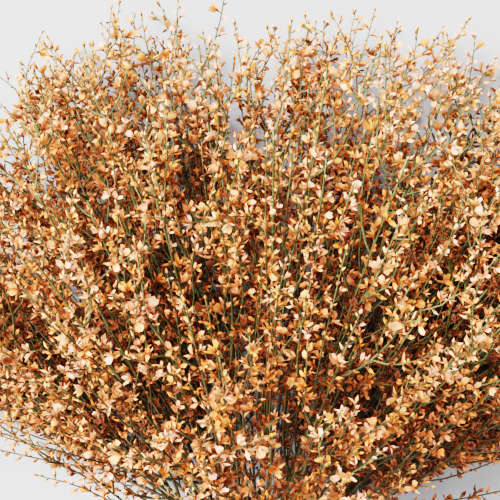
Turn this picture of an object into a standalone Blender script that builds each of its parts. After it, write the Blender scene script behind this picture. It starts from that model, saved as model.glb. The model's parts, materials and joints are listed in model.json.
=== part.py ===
# Dried broom bloom: a bunch of cut broom sprays, tied round the stalks and lying down.
# Metres, +Z up. The cut ends point to -Y, the bloom to +Y, and the bunch rests on z = 0.
import itertools
import math
import random

import bmesh
import bpy
import numpy as np
from mathutils import Matrix, Vector

# Driving dimensions of the bunch
SPRAYS = 35
STALK_LENGTH = 0.165           # from the cut ends to the tie
SPRAY_REACH = 0.405            # from the tie to the furthest tip
# Layers of the fan from the ground up: sprays, widest yaw to either side, rise in the
# middle and rise at the sides, in degrees
LAYERS = ((11, 58, -1, -2), (10, 52, 16, 10), (7, 45, 34, 22), (4, 33, 52, 38), (3, 15, 70, 64))
FAN_YAW = math.radians(68)     # where a spray would lack all of SIDE_SHORTER
FAN_HIGH = math.radians(72)    # and all of STEEP_SHORTER
LEAN = math.radians(10)        # the tied stalks rise towards the tie
STEM_RADIUS = 0.00125
TIP_RADIUS = 0.0009
STALK_GAP = 0.0002             # between the stalks where the tie presses them together
TIE_GAP = 0.0003
STALK_FLARE = 0.75             # how much further apart the cut ends stand than the tied part
STALK_TWIST = math.radians(20)
CUT_UNEVEN = 0.007             # the cut ends are this much longer or shorter
STRAIGHT_RUN = 0.012           # stems stay parallel this far to either side of the tie
BEND_RUN = 0.095               # and have turned to their own direction by here
SIDE_SHORTER = 0.38            # share of the reach that the widest sprays lack
STEEP_SHORTER = 0.32           # and the steepest
UNEVEN = math.radians(2.5)     # how far a spray strays from its place in the fan
CURL = math.radians(7)         # most sideways curl over a spray's length

# Side twigs, which leave the stem, knee forward and end near the spray's own reach
TWIGS = 5
TWIG_RADIUS = 0.0013
TWIG_ROOT_RADIUS = 0.0006
TWIG_TIP_RADIUS = 0.0009
TWIG_SPREAD = 0.038
FIRST_TWIG = 0.20              # share of the stem where the lowest twig leaves
LAST_TWIG = 0.82
KNEE = (0.35, 0.68)            # share of a twig's length and of its spread at the knee

# Blooms, larger than life so that they still cover the bunch
BLOOMS = 10
BLOOM_RADIUS = 0.0142
PETALS = ((1.0, 0.66), (0.88, 0.44), (0.88, 0.44))   # reach and height, in bloom radii
NOTCH = (0.34, 0.24)           # reach and height between the petals
THROAT = 0.48
TIP_SUNK = 0.0020              # how deep a bloom's point sits in the end of a twig
SIDE_SUNK = 0.0003             # and how far past the middle of a twig's side

# Room between neighbours
CLEARANCE = 0.0012
FLOOR_CLEARANCE = 0.0015
GUARD = 0.0022                 # each petal corner keeps this much room to itself
BLOOM_OWNER = -1               # blooms keep clear of each other even within a spray

# The twine that ties the stalks
TIE_TURNS = 4
TWINE_RADIUS = 0.0011
TWINE_BED = 0.0006             # what the half-round turns stand on
TIE_STEPS = 18

# Three low blooms touch the ground: to the left, to the right and in front of the tie
FOOT_YAWS = (math.radians(-42), math.radians(42), 0)
FOOT_START = 0.55              # share of the stem where the twig to such a bloom leaves
FOOT_HEIGHT = 0.0119           # of the bloom's root over the ground

GOLDEN_ANGLE = math.radians(137.508)
SHARP = math.radians(50)       # edges that turn more than this are drawn sharp
STEP = 0.003                   # marching step along a stem
SEED = 7

AXIS = Vector((0, math.cos(LEAN), math.sin(LEAN)))
SIDE = Vector((1, 0, 0))
RISE = SIDE.cross(AXIS)


def clear_scene():
    for obj in list(bpy.data.objects):
        bpy.data.objects.remove(obj, do_unlink=True)


def new_collection(name, helper=False):
    collection = bpy.data.collections.new(name)
    bpy.context.scene.collection.children.link(collection)
    collection.hide_render = helper
    return collection


def new_material(name, colour, roughness):
    material = bpy.data.materials.new(name)
    material.use_nodes = True
    shader = material.node_tree.nodes["Principled BSDF"]
    shader.inputs["Base Color"].default_value = (*colour, 1)
    shader.inputs["Roughness"].default_value = roughness
    shader.inputs["Metallic"].default_value = 0
    return material


def smoothstep(t):
    t = min(max(t, 0), 1)
    return t * t * (3 - 2 * t)


def heading(yaw, rise):
    flat = math.cos(rise)
    return Vector((math.sin(yaw) * flat, math.cos(yaw) * flat, math.sin(rise)))


def side_way(ahead, angle):
    # A direction square to ahead, turned by angle round it
    across = ahead.cross(Vector((0, 0, 1))).normalized()
    return across * math.cos(angle) + across.cross(ahead) * math.sin(angle)


# Where the stalks stand inside the tie: a sunflower pattern pressed until neighbours meet

def pressed_stalks():
    pitch = 2 * STEM_RADIUS + STALK_GAP
    spots = []
    for k in range(SPRAYS):
        radius = pitch * math.sqrt(k + 0.5)
        angle = k * GOLDEN_ANGLE
        spots.append(Vector((radius * math.cos(angle), radius * math.sin(angle))))
    pairs = list(itertools.combinations(range(SPRAYS), 2))
    for _ in range(300):
        spots = [spot * 0.99 for spot in spots]
        for a, b in pairs:
            apart = spots[b] - spots[a]
            if apart.length < pitch:
                push = apart.normalized() * (pitch - apart.length) / 2
                spots[a] -= push
                spots[b] += push
    closest = min((spots[a] - spots[b]).length for a, b in pairs)
    return [spot * (pitch / closest) for spot in spots]


def fan_ways(spots):
    # Yaw and rise of each stalk's spray. The lowest stalks make the lowest layer, and
    # within a layer the sprays fan out in the order in which their stalks stand
    ways = [None] * SPRAYS
    rising = sorted(range(SPRAYS), key=lambda k: spots[k].y)
    for count, widest, middle, side in LAYERS:
        layer = sorted(rising[:count], key=lambda k: spots[k].x)
        rising = rising[count:]
        for k, index in enumerate(layer):
            across = 2 * k / (count - 1) - 1
            rise = middle + (side - middle) * across**2
            ways[index] = (math.radians(widest * across), math.radians(rise))
    return ways


class Spray:
    """One spray: its stalk in the tie, its direction in the fan and the line of its stem."""

    def __init__(self, index, spot, way, origin, jitter):
        rng = random.Random(SEED * 1000 + index)
        self.index = index
        self.spot = spot
        self.origin = origin
        yaw, rise = way
        self.yaw = yaw + jitter * rng.uniform(-UNEVEN, UNEVEN)
        self.rise = rise + jitter * rng.uniform(0, UNEVEN)
        sideways = 1 - SIDE_SHORTER * abs(self.yaw / FAN_YAW) ** 3
        steeply = 1 - STEEP_SHORTER * (max(self.rise, 0) / FAN_HIGH) ** 2
        self.length = SPRAY_REACH * sideways * steeply * rng.uniform(0.94, 1.0)
        self.curl = jitter * rng.uniform(-CURL, CURL)
        self.cut_back = rng.uniform(-CUT_UNEVEN, CUT_UNEVEN)
        self.turn = rng.uniform(0, 2 * math.pi)
        self.stations = self.grow()

    def stalk_at(self, below):
        # The stalk this far below the tie, measured along the bunch's axis
        share = below / STALK_LENGTH
        twist = STALK_TWIST * share
        reach = 1 + STALK_FLARE * smoothstep(share)
        across = self.spot.x * math.cos(twist) - self.spot.y * math.sin(twist)
        up = self.spot.x * math.sin(twist) + self.spot.y * math.cos(twist)
        return self.origin + SIDE * (across * reach) + RISE * (up * reach) - AXIS * below

    def direction(self, s):
        turned = smoothstep((s - STRAIGHT_RUN) / (BEND_RUN - STRAIGHT_RUN))
        late = max(s - BEND_RUN, 0) / SPRAY_REACH
        yaw = self.yaw * turned + self.curl * late
        rise = LEAN + (self.rise - LEAN) * turned
        return heading(yaw, rise)

    def grow(self):
        # Points of the stem past the tie, as (length so far, place)
        bend = BEND_RUN - STRAIGHT_RUN
        rest = self.length - BEND_RUN
        stops = [STRAIGHT_RUN + bend * share for share in (0, 0.32, 0.64, 1)]
        stops += [BEND_RUN + rest * share for share in (0.45, 1)]
        place = self.stalk_at(0)
        s = 0
        stations = []
        for stop in stops:
            steps = math.ceil((stop - s) / STEP)
            step = (stop - s) / steps
            for _ in range(steps):
                place = place + self.direction(s + step / 2) * step
                s += step
            stations.append((s, place))
        return stations

    def at(self, share):
        # Place and direction at a share of the length past the tie
        s = share * self.length
        for (s0, p0), (s1, p1) in itertools.pairwise(self.stations):
            if s <= s1 or s1 == self.stations[-1][0]:
                return p0.lerp(p1, (s - s0) / (s1 - s0)), (p1 - p0).normalized()

    def stem_line(self):
        below = (STALK_LENGTH + self.cut_back, STALK_LENGTH * 0.5, STRAIGHT_RUN)
        line = [(self.stalk_at(b), STEM_RADIUS) for b in below]
        for s, place in self.stations:
            line.append((place, STEM_RADIUS + (TIP_RADIUS - STEM_RADIUS) * s / self.length))
        return line


class Room:
    """The room already taken: each placed piece leaves balls along itself."""

    def __init__(self):
        self.centres = np.empty((0, 3))
        self.radii = np.empty(0)
        self.owners = np.empty(0)

    def take(self, owner, points, radius):
        self.centres = np.vstack([self.centres, points])
        self.radii = np.append(self.radii, [radius] * len(points))
        self.owners = np.append(self.owners, [owner] * len(points))

    def is_free(self, owner, points, radius, clearance=CLEARANCE):
        points = np.array(points)
        if points[:, 2].min() - radius < FLOOR_CLEARANCE:
            return False
        margin = radius + BLOOM_RADIUS * 1.2 + clearance
        near = (self.centres > points.min(axis=0) - margin).all(axis=1)
        near &= (self.centres < points.max(axis=0) + margin).all(axis=1)
        near &= self.owners != owner
        apart = points[:, None] - self.centres[near]
        reach = self.radii[near] + radius + clearance
        return bool(((apart**2).sum(axis=2) >= reach**2).all())


def along_line(points, spacing):
    marks = []
    for a, b in itertools.pairwise(points):
        count = max(1, round((b - a).length / spacing))
        marks += [a.lerp(b, k / count) for k in range(count)]
    return marks + [points[-1]]


def tie_centre(spots):
    # Over the ground by as much as lets the lowest cut end touch it
    flat = [Spray(k, spot, (0, 0), Vector(), 0) for k, spot in enumerate(spots)]
    lowest = min(spray.stalk_at(STALK_LENGTH + spray.cut_back).z for spray in flat)
    return Vector((0, 0, STEM_RADIUS - lowest))


def plan_sprays(spots, origin, room):
    sprays = []
    for index, (spot, way) in enumerate(zip(spots, fan_ways(spots))):
        for jitter in (1, 0.5, 0):
            spray = Spray(index, spot, way, origin, jitter)
            line = [place for _, place in spray.stations]
            marks = along_line(line, STEP)
            if room.is_free(index, marks, STEM_RADIUS, STALK_GAP * 0.5):
                break
        room.take(index, marks, STEM_RADIUS)
        sprays.append(spray)
    return sprays


def plan_twig(spray, k, room):
    # Low twigs end well short of the stem's tip, high ones about level with it
    height = k / (TWIGS - 1)
    share = FIRST_TWIG + (LAST_TWIG - FIRST_TWIG) * height
    start, ahead = spray.at(share)
    out = side_way(ahead, spray.turn + k * GOLDEN_ANGLE)
    along = (1 - share) * spray.length * (0.52 + 0.3 * height) + 0.014
    for ease in (1.0, 0.8, 0.6, 0.4):
        spread = TWIG_SPREAD * ease * (1.05 - 0.45 * share)
        knee = start + ahead * (KNEE[0] * along) + out * (KNEE[1] * spread)
        end = start + ahead * along + out * spread
        marks = along_line([start.lerp(knee, 0.1), knee, end], STEP)
        if room.is_free(spray.index, marks, TWIG_RADIUS):
            room.take(spray.index, marks, TWIG_RADIUS)
            return start, knee, end
    return None


def plan_feet(sprays, guards, room):
    # The lowest spray near each of the three directions drops one twig to the ground
    feet = {}
    for yaw in FOOT_YAWS:
        near = [s for s in sprays if abs(s.yaw - yaw) < math.radians(16) and s.index not in feet]
        spray = min(near, key=lambda s: s.rise)
        start, ahead = spray.at(FOOT_START)
        flat = Vector((ahead.x, ahead.y, 0)).normalized()
        end = start + flat * (0.28 * spray.length)
        end.z = FOOT_HEIGHT
        knee = start.lerp(end, 0.45) - Vector((0, 0, 0.15 * (start.z - end.z)))
        room.take(spray.index, along_line([start, knee, end], STEP), TWIG_RADIUS)
        axis = (flat - Vector((0, 0, 0.25))).normalized()
        bloom = (end - axis * TIP_SUNK, axis, 1.0, 0.0)
        room.take(BLOOM_OWNER, place_guards(guards, bloom), GUARD)
        feet[spray.index] = ((start, knee, end), bloom)
    return feet


def bloom_matrix(bloom):
    root, axis, size, spin = bloom
    turn = axis.to_track_quat("Z", "Y").to_matrix().to_4x4() @ Matrix.Rotation(spin, 4, "Z")
    return Matrix.Translation(root) @ turn @ Matrix.Scale(BLOOM_RADIUS * size, 4)


def place_guards(guards, bloom):
    matrix = bloom_matrix(bloom)
    return [matrix @ guard for guard in guards]


def plan_bloom(spray, root, axis, size, spin, guards, room):
    # Turned, then made smaller, until its petals clear the other sprays
    for smaller in (1.0, 0.86, 0.74):
        for turn in (0, 40, 80):
            bloom = (root, axis, size * smaller, spin + math.radians(turn))
            points = place_guards(guards, bloom)
            if room.is_free(spray.index, points, GUARD):
                room.take(BLOOM_OWNER, points, GUARD)
                return bloom
    return None


def bloom_seats(spray, twigs):
    # Tips first, then points further back, so that the outline fills before the inside
    tip, ahead = spray.at(1.0)
    seats = [(tip, ahead, TIP_SUNK, None)]
    for k, (start, knee, end) in enumerate(twigs):
        seats.append((end, (end - knee).normalized(), TIP_SUNK, k))
    for back, turn in ((0.55, 0.0), (0.1, 2.2)):
        for k, (start, knee, end) in enumerate(twigs):
            along = (end - knee).normalized()
            out = side_way(along, spray.turn + turn + k * GOLDEN_ANGLE)
            seats.append((knee.lerp(end, back), (along * 0.5 + out).normalized(), SIDE_SUNK, k))
    return seats


def plan_blooms(sprays, twigs, guards, room):
    seats = [bloom_seats(spray, twigs[spray.index]) for spray in sprays]
    blooms = [[] for _ in sprays]
    used = [set() for _ in sprays]
    for k in range(max(len(places) for places in seats)):
        for spray in sprays:
            own = blooms[spray.index]
            if k >= len(seats[spray.index]) or len(own) >= BLOOMS:
                continue
            rng = random.Random(SEED * 7000 + spray.index * 100 + k)
            seat, axis, sunk, twig = seats[spray.index][k]
            size = rng.uniform(0.9, 1.1)
            spin = rng.uniform(0, 2 * math.pi)
            bloom = plan_bloom(spray, seat - axis * sunk, axis, size, spin, guards, room)
            if bloom:
                own.append(bloom)
                used[spray.index].add(twig)
    for spray in sprays:
        own = twigs[spray.index]
        twigs[spray.index] = [twig for k, twig in enumerate(own) if k in used[spray.index]]
    return blooms


# Meshes

def add_object(name, shape, collection):
    obj = bpy.data.objects.new(name, shape)
    collection.objects.link(obj)
    return obj


def evaluated_mesh(obj):
    bpy.context.view_layer.update()
    graph = bpy.context.evaluated_depsgraph_get()
    return bpy.data.meshes.new_from_object(obj.evaluated_get(graph))


def make_line(name, line):
    curve = bpy.data.curves.new(name, "CURVE")
    spline = curve.splines.new("POLY")
    spline.points.add(len(line) - 1)
    for point, (place, radius) in zip(spline.points, line):
        point.co = (*place, 1)
        point.radius = radius
    return curve


def make_profile(sides, collection):
    corners = [Matrix.Rotation(2 * math.pi * k / sides, 3, "Z") @ SIDE for k in range(sides)]
    curve = make_line("profile", [(corner, 1) for corner in corners])
    curve.splines[0].use_cyclic_u = True
    return add_object(f"profile_{sides}", curve, collection)


def make_tube(name, line, profile, collection):
    # A profile swept along a straight-edged curve, made a mesh with its caps welded on
    curve = make_line(name, line)
    curve.dimensions = "3D"
    curve.bevel_mode = "OBJECT"
    curve.bevel_object = profile
    curve.use_fill_caps = True
    guide = add_object(name + "_line", curve, collection)
    mesh = evaluated_mesh(guide)
    bpy.data.objects.remove(guide)
    shape = bmesh.new()
    shape.from_mesh(mesh)
    bmesh.ops.remove_doubles(shape, verts=shape.verts, dist=1e-6)
    bmesh.ops.recalc_face_normals(shape, faces=shape.faces)
    shape.to_mesh(mesh)
    shape.free()
    return add_object(name, mesh, collection)


def bloom_shape():
    # A three-sided cone on its point, which is the calyx. Each edge of its rim is drawn
    # out into a blunt petal: a broad standard and two narrower wings
    shape = bmesh.new()
    bmesh.ops.create_cone(
        shape, cap_ends=True, cap_tris=True, segments=3, radius1=0, radius2=1, depth=1
    )
    rim = [edge for edge in shape.edges if all(v.co.xy.length > 0.5 for v in edge.verts)]
    throat = next(v for v in shape.verts if v.co.z > 0 and v.co.xy.length < 0.5)
    calyx = next(v for v in shape.verts if v.co.z < 0)
    notches = {v for edge in rim for v in edge.verts}
    for edge, (reach, height) in zip(rim, PETALS):
        start, end = edge.verts
        middle = (start.co + end.co).xy.normalized()
        _, first = bmesh.utils.edge_split(edge, start, 0.3)
        edge = next(e for e in first.link_edges if end in e.verts)
        _, second = bmesh.utils.edge_split(edge, first, 4 / 7)
        for corner in (first, second):
            way = Vector((*(corner.co.xy.normalized() * 0.75 + middle * 0.25), 0))
            corner.co = way.normalized() * reach
            corner.co.z = height
        under = next(f for f in calyx.link_faces if first in f.verts)
        bmesh.utils.face_split(under, start, end)
        over = next(f for f in throat.link_faces if first in f.verts)
        bmesh.utils.face_split(over, throat, first)
        over = next(f for f in throat.link_faces if second in f.verts and len(f.verts) > 3)
        bmesh.utils.face_split(over, throat, second)
    for notch in notches:
        notch.co = (notch.co.x * NOTCH[0], notch.co.y * NOTCH[0], NOTCH[1])
    throat.co = (0, 0, THROAT)
    calyx.co = (0, 0, 0)
    bmesh.ops.recalc_face_normals(shape, faces=shape.faces)
    guards = [v.co.copy() for v in shape.verts if v != calyx]
    guards += [v.co * 0.6 for v in shape.verts if v.co.xy.length > 0.8]
    guards += [(e.verts[0].co + e.verts[1].co) / 2 for e in shape.edges if e.calc_length() > 0.5]
    mesh = bpy.data.meshes.new("bloom")
    shape.to_mesh(mesh)
    shape.free()
    return mesh, guards


def finish(obj, modifier, material):
    # Applies the modifier and gives the mesh its material
    mesh = evaluated_mesh(obj)
    obj.modifiers.remove(modifier)
    obj.data = mesh
    mesh.name = obj.name
    mesh.materials.clear()
    mesh.materials.append(material)
    mesh.shade_smooth()
    mesh.set_sharp_from_angle(angle=SHARP)


def build_spray(spray, twigs, blooms, pattern, home, material):
    pieces = new_collection("pieces", helper=True)
    profiles = new_collection("profiles", helper=True)
    name = f"spray_{spray.index + 1:02d}"
    stem = make_tube(name, spray.stem_line(), make_profile(4, profiles), home)
    twig_profile = make_profile(3, profiles)
    for start, knee, end in twigs:
        line = [(start, TWIG_ROOT_RADIUS), (knee, TWIG_RADIUS), (end, TWIG_TIP_RADIUS)]
        make_tube("twig", line, twig_profile, pieces)
    for bloom in blooms:
        mesh = pattern.copy()
        mesh.transform(bloom_matrix(bloom))
        add_object("bloom", mesh, pieces)
    join = stem.modifiers.new("join", "BOOLEAN")
    join.operation = "UNION"
    join.operand_type = "COLLECTION"
    join.collection = pieces
    join.solver = "MANIFOLD"
    finish(stem, join, material)
    for helpers in (pieces, profiles):
        for obj in list(helpers.objects):
            bpy.data.objects.remove(obj, do_unlink=True)
        bpy.data.collections.remove(helpers)
    return stem


def build_tie(inner, origin, home, material):
    # Half-round turns of twine side by side, swept round the stalks. The profile runs
    # down its outer side and back up the inner one
    width = TIE_TURNS * 2 * TWINE_RADIUS
    profile = []
    for turn in range(TIE_TURNS):
        middle = width / 2 - (2 * turn + 1) * TWINE_RADIUS
        for angle in (30, 90, 150):
            out = math.sin(math.radians(angle)) * TWINE_RADIUS
            along = math.cos(math.radians(angle)) * TWINE_RADIUS
            profile.append((inner + TWINE_BED + out, middle + along))
    profile += [(inner, -width / 2), (inner, width / 2)]
    mesh = bpy.data.meshes.new("tie")
    edges = [(k, (k + 1) % len(profile)) for k in range(len(profile))]
    mesh.from_pydata([(radius, 0, along) for radius, along in profile], edges, [])
    ring = add_object("tie", mesh, home)
    wind = ring.modifiers.new("wind", "SCREW")
    wind.axis = "Z"
    wind.angle = 2 * math.pi
    wind.steps = TIE_STEPS
    wind.render_steps = TIE_STEPS
    wind.use_merge_vertices = True
    wind.merge_threshold = 0.00001
    finish(ring, wind, material)
    turn = AXIS.to_track_quat("Z", "Y").to_matrix().to_4x4()
    ring.data.transform(Matrix.Translation(origin) @ turn)
    return ring


def lift(objects):
    # Moves everything until the lowest cut end is on z = 0
    ends = [v.co.z for obj in objects for v in obj.data.vertices if v.co.y < -STALK_LENGTH / 2]
    for obj in objects:
        obj.data.transform(Matrix.Translation((0, 0, -min(ends))))


def press_feet(feet):
    # The two lowest corners of each foot's bloom come down on z = 0
    for index, (_, (root, _, _, _)) in feet.items():
        mesh = bpy.data.objects[f"spray_{index + 1:02d}"].data
        near = [v for v in mesh.vertices if (v.co - root).length < BLOOM_RADIUS * 1.4]
        for vertex in sorted(near, key=lambda v: v.co.z)[:2]:
            vertex.co.z = 0
        mesh.update()


def centre_on_base(objects):
    corners = [vertex.co for obj in objects for vertex in obj.data.vertices]
    middle = [(min(c[k] for c in corners) + max(c[k] for c in corners)) / 2 for k in (0, 1)]
    for obj in objects:
        obj.data.transform(Matrix.Translation((-middle[0], -middle[1], 0)))


clear_scene()
home = new_collection("dried_broom_bloom")
broom = new_material("dried_broom", (0.80, 0.42, 0.18), 0.8)
twine = new_material("twine", (0.42, 0.30, 0.16), 0.9)

room = Room()
spots = pressed_stalks()
origin = tie_centre(spots)
sprays = plan_sprays(spots, origin, room)
pattern, guards = bloom_shape()
feet = plan_feet(sprays, guards, room)
twigs = [[] for _ in sprays]
for k in reversed(range(TWIGS)):
    for spray in sprays:
        twig = plan_twig(spray, k, room)
        if twig:
            twigs[spray.index].append(twig)
blooms = plan_blooms(sprays, twigs, guards, room)
for index, (twig, bloom) in feet.items():
    twigs[index].append(twig)
    blooms[index].append(bloom)

objects = []
for spray in sprays:
    own = (twigs[spray.index], blooms[spray.index])
    objects.append(build_spray(spray, *own, pattern, home, broom))
inner = max(spot.length for spot in spots) + STEM_RADIUS + TIE_GAP
objects.append(build_tie(inner, origin, home, twine))
lift(objects)
press_feet(feet)
centre_on_base(objects)
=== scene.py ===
import itertools
import json
import math
import random

import bmesh
import bpy
import numpy as np
from mathutils import Matrix, Vector, noise

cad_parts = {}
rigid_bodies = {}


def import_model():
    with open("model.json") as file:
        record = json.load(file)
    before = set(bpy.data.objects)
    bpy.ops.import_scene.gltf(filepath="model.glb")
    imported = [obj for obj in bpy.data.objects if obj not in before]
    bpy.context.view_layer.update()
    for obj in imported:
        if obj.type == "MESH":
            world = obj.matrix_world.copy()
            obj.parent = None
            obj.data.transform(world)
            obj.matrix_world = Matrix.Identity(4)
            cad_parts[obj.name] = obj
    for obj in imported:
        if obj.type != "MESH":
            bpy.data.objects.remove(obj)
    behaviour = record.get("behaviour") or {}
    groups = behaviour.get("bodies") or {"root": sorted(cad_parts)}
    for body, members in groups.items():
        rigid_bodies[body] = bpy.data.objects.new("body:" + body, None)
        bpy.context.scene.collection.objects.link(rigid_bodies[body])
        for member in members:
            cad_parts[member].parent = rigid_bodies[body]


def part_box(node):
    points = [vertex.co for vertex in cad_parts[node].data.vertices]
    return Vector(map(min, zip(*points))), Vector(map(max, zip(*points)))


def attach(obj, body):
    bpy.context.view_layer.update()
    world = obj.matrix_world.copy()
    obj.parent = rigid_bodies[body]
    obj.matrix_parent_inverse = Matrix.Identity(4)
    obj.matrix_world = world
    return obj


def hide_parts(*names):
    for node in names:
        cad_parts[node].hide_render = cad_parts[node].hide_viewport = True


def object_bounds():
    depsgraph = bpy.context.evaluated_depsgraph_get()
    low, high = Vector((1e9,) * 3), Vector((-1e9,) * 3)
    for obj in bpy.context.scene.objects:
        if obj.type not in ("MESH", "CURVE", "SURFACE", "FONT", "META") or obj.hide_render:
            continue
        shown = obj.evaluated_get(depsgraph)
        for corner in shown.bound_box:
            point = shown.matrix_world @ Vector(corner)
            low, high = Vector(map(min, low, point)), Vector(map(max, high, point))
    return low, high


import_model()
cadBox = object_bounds()
print("frame loaded")

goldenAngle = math.radians(137.508)
upWay = Vector((0, 0, 1))
mm = 0.001
weldGap = 0.000001  # points closer than this become one
unevenRough = 0.1  # how far a finish's shine wanders either way


# How the bunch grows: the rule of the frame's own sprays, so that these lie on them

bunch = {
    "sprays": 35,
    "stalkLength": 0.165,  # cut ends to the tie
    "reach": 0.405,  # tie to the furthest tip
    "fanYaw": math.radians(68),
    "fanHigh": math.radians(72),
    # layers from the table up: sprays, widest yaw, rise in the middle and at the sides
    "layers": ((11, 58, -1, -2), (10, 52, 16, 10), (7, 45, 34, 22), (4, 33, 52, 38),
               (3, 15, 70, 64)),
    "lean": math.radians(10),
    "stemRadius": 0.00125,
    "fineTip": 0.00054,
    "stalkGap": 0.0002,  # half of it is kept past the tie
    "stalkFlare": 0.75,
    "stalkTwist": math.radians(20),
    "stalkPoints": 14,
    "pressRounds": 300,
    "pressedBy": 0.99,  # in each round
    "cutUneven": 0.007,
    "straightRun": 0.012,
    "bendRun": 0.095,
    "bends": (0, 0.32, 0.64, 1),  # where the frame's stems turn, as shares of the bend
    "lateBends": (0.45, 1),  # and of the rest
    "sideShorter": 0.38,
    "steepShorter": 0.32,
    "shortest": 0.94,
    "uneven": math.radians(2.5),
    "curl": math.radians(7),
    "step": 0.003,
    "drawn": 3,  # each third step is a point of the smooth stem
    "seed": 7,
}

mainTwigs = {
    "count": 5,
    "radius": 0.0013,
    "spread": 0.038,
    "first": 0.20,
    "last": 0.82,
    "knee": (0.35, 0.68),  # along the twig and out from the stem
    "run": (0.52, 0.30),  # share of the stem left, at the lowest and more higher up
    "more": 0.014,
    "narrowing": (1.05, 0.45),
    "tries": (1.0, 0.8, 0.6, 0.4),  # shares of the spread, until one is free
    "clear": 0.1,  # the share of the knee's way that still lies in the stem
    "clearance": 0.0012,
    "floorClearance": 0.0015,
}

footTwigs = {
    "yaws": (math.radians(-42), math.radians(42), 0),
    "near": math.radians(16),  # how far from those yaws its spray may be
    "start": 0.55,
    "run": 0.28,  # share of the spray's length
    "knee": 0.45,
    "sag": 0.15,
    "nod": 0.25,  # how far the bloom looks down
    "height": 0.0119,
    "bloomRadius": 0.0142,
    "petals": ((1.0, 0.66), (0.88, 0.44), (0.88, 0.44)),
    "cornerSlope": 0.4 * math.sqrt(3),
    "cornerShare": 0.75,  # of a corner's own way, the rest is the petal's
    "notch": (0.34, 0.24),
    "throat": 0.48,
    "sunk": 0.002,
    "guard": 0.0022,
    "inner": 0.6,  # guards that stand further in than the corners
}

axisWay = Vector((0, math.cos(bunch["lean"]), math.sin(bunch["lean"])))
sideWay = Vector((1, 0, 0))
riseWay = sideWay.cross(axisWay)


def smoothstep(t):
    t = min(max(t, 0), 1)
    return t * t * (3 - 2 * t)


def heading(yaw, rise):
    flat = math.cos(rise)
    return Vector((math.sin(yaw) * flat, math.cos(yaw) * flat, math.sin(rise)))


def outward(ahead, angle):
    # square to ahead, turned by angle round it
    across = ahead.cross(upWay).normalized()
    return across * math.cos(angle) + across.cross(ahead) * math.sin(angle)


def pressStalks():
    # a sunflower pattern, pressed together until neighbours meet
    pitch = 2 * bunch["stemRadius"] + bunch["stalkGap"]
    spots = []
    for k in range(bunch["sprays"]):
        radius = pitch * math.sqrt(k + 0.5)
        angle = k * goldenAngle
        spots.append(Vector((radius * math.cos(angle), radius * math.sin(angle))))
    pairs = list(itertools.combinations(range(bunch["sprays"]), 2))
    for _ in range(bunch["pressRounds"]):
        spots = [spot * bunch["pressedBy"] for spot in spots]
        for a, b in pairs:
            apart = spots[b] - spots[a]
            if apart.length < pitch:
                push = apart.normalized() * (pitch - apart.length) / 2
                spots[a] -= push
                spots[b] += push
    closest = min((spots[a] - spots[b]).length for a, b in pairs)
    return [spot * (pitch / closest) for spot in spots]


def stalkAt(spray, below):
    # the stalk this far below the tie
    share = below / bunch["stalkLength"]
    twist = bunch["stalkTwist"] * share
    reach = 1 + bunch["stalkFlare"] * smoothstep(share)
    spot = spray["spot"]
    across = spot.x * math.cos(twist) - spot.y * math.sin(twist)
    up = spot.x * math.sin(twist) + spot.y * math.cos(twist)
    return spray["origin"] + sideWay * (across * reach) + riseWay * (up * reach) - axisWay * below


def directionAt(spray, s):
    run = bunch["bendRun"] - bunch["straightRun"]
    turned = smoothstep((s - bunch["straightRun"]) / run)
    late = max(s - bunch["bendRun"], 0) / bunch["reach"]
    yaw = spray["yaw"] * turned + spray["curl"] * late
    rise = bunch["lean"] + (spray["rise"] - bunch["lean"]) * turned
    return heading(yaw, rise)


def fanWays(spots):
    # yaw and rise of each spray, the lowest stalks in the lowest layer
    ways = [None] * len(spots)
    rising = sorted(range(len(spots)), key=lambda k: spots[k].y)
    for count, widest, middle, side in bunch["layers"]:
        layer = sorted(rising[:count], key=lambda k: spots[k].x)
        rising = rising[count:]
        for k, index in enumerate(layer):
            across = 2 * k / (count - 1) - 1
            rise = middle + (side - middle) * across**2
            ways[index] = (math.radians(widest * across), math.radians(rise))
    return ways


def growSpray(index, spot, way, origin, jitter):
    rng = random.Random(bunch["seed"] * 1000 + index)
    uneven = bunch["uneven"]
    spray = {"index": index, "spot": spot, "origin": origin}
    spray["yaw"] = way[0] + jitter * rng.uniform(-uneven, uneven)
    spray["rise"] = way[1] + jitter * rng.uniform(0, uneven)
    sideways = 1 - bunch["sideShorter"] * abs(spray["yaw"] / bunch["fanYaw"]) ** 3
    steeply = 1 - bunch["steepShorter"] * (max(spray["rise"], 0) / bunch["fanHigh"]) ** 2
    spray["length"] = bunch["reach"] * sideways * steeply
    spray["length"] *= rng.uniform(bunch["shortest"], 1.0)
    spray["curl"] = jitter * rng.uniform(-bunch["curl"], bunch["curl"])
    spray["stalk"] = bunch["stalkLength"] + rng.uniform(-bunch["cutUneven"], bunch["cutUneven"])
    spray["turn"] = rng.uniform(0, 2 * math.pi)
    # past the tie: the frame's own stations, and a smooth path through them
    run = bunch["bendRun"] - bunch["straightRun"]
    rest = spray["length"] - bunch["bendRun"]
    stops = [bunch["straightRun"] + run * share for share in bunch["bends"]]
    stops += [bunch["bendRun"] + rest * share for share in bunch["lateBends"]]
    place = stalkAt(spray, 0)
    s = 0
    spray["stations"] = []
    path = [(0, place)]
    for stop in stops:
        steps = math.ceil((stop - s) / bunch["step"])
        step = (stop - s) / steps
        for _ in range(steps):
            place = place + directionAt(spray, s + step / 2) * step
            s += step
            path.append((s, place))
        spray["stations"].append((s, place))
    spray["path"] = path[::bunch["drawn"]] + [path[-1]]
    return spray


def onStations(spray, share):
    s = share * spray["length"]
    for (s0, p0), (s1, p1) in itertools.pairwise(spray["stations"]):
        if s <= s1 or s1 == spray["stations"][-1][0]:
            return p0.lerp(p1, (s - s0) / (s1 - s0)), (p1 - p0).normalized()


# The room that is already taken, as balls with an owner

room = {"balls": np.empty((0, 5))}  # place, radius, owner


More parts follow.
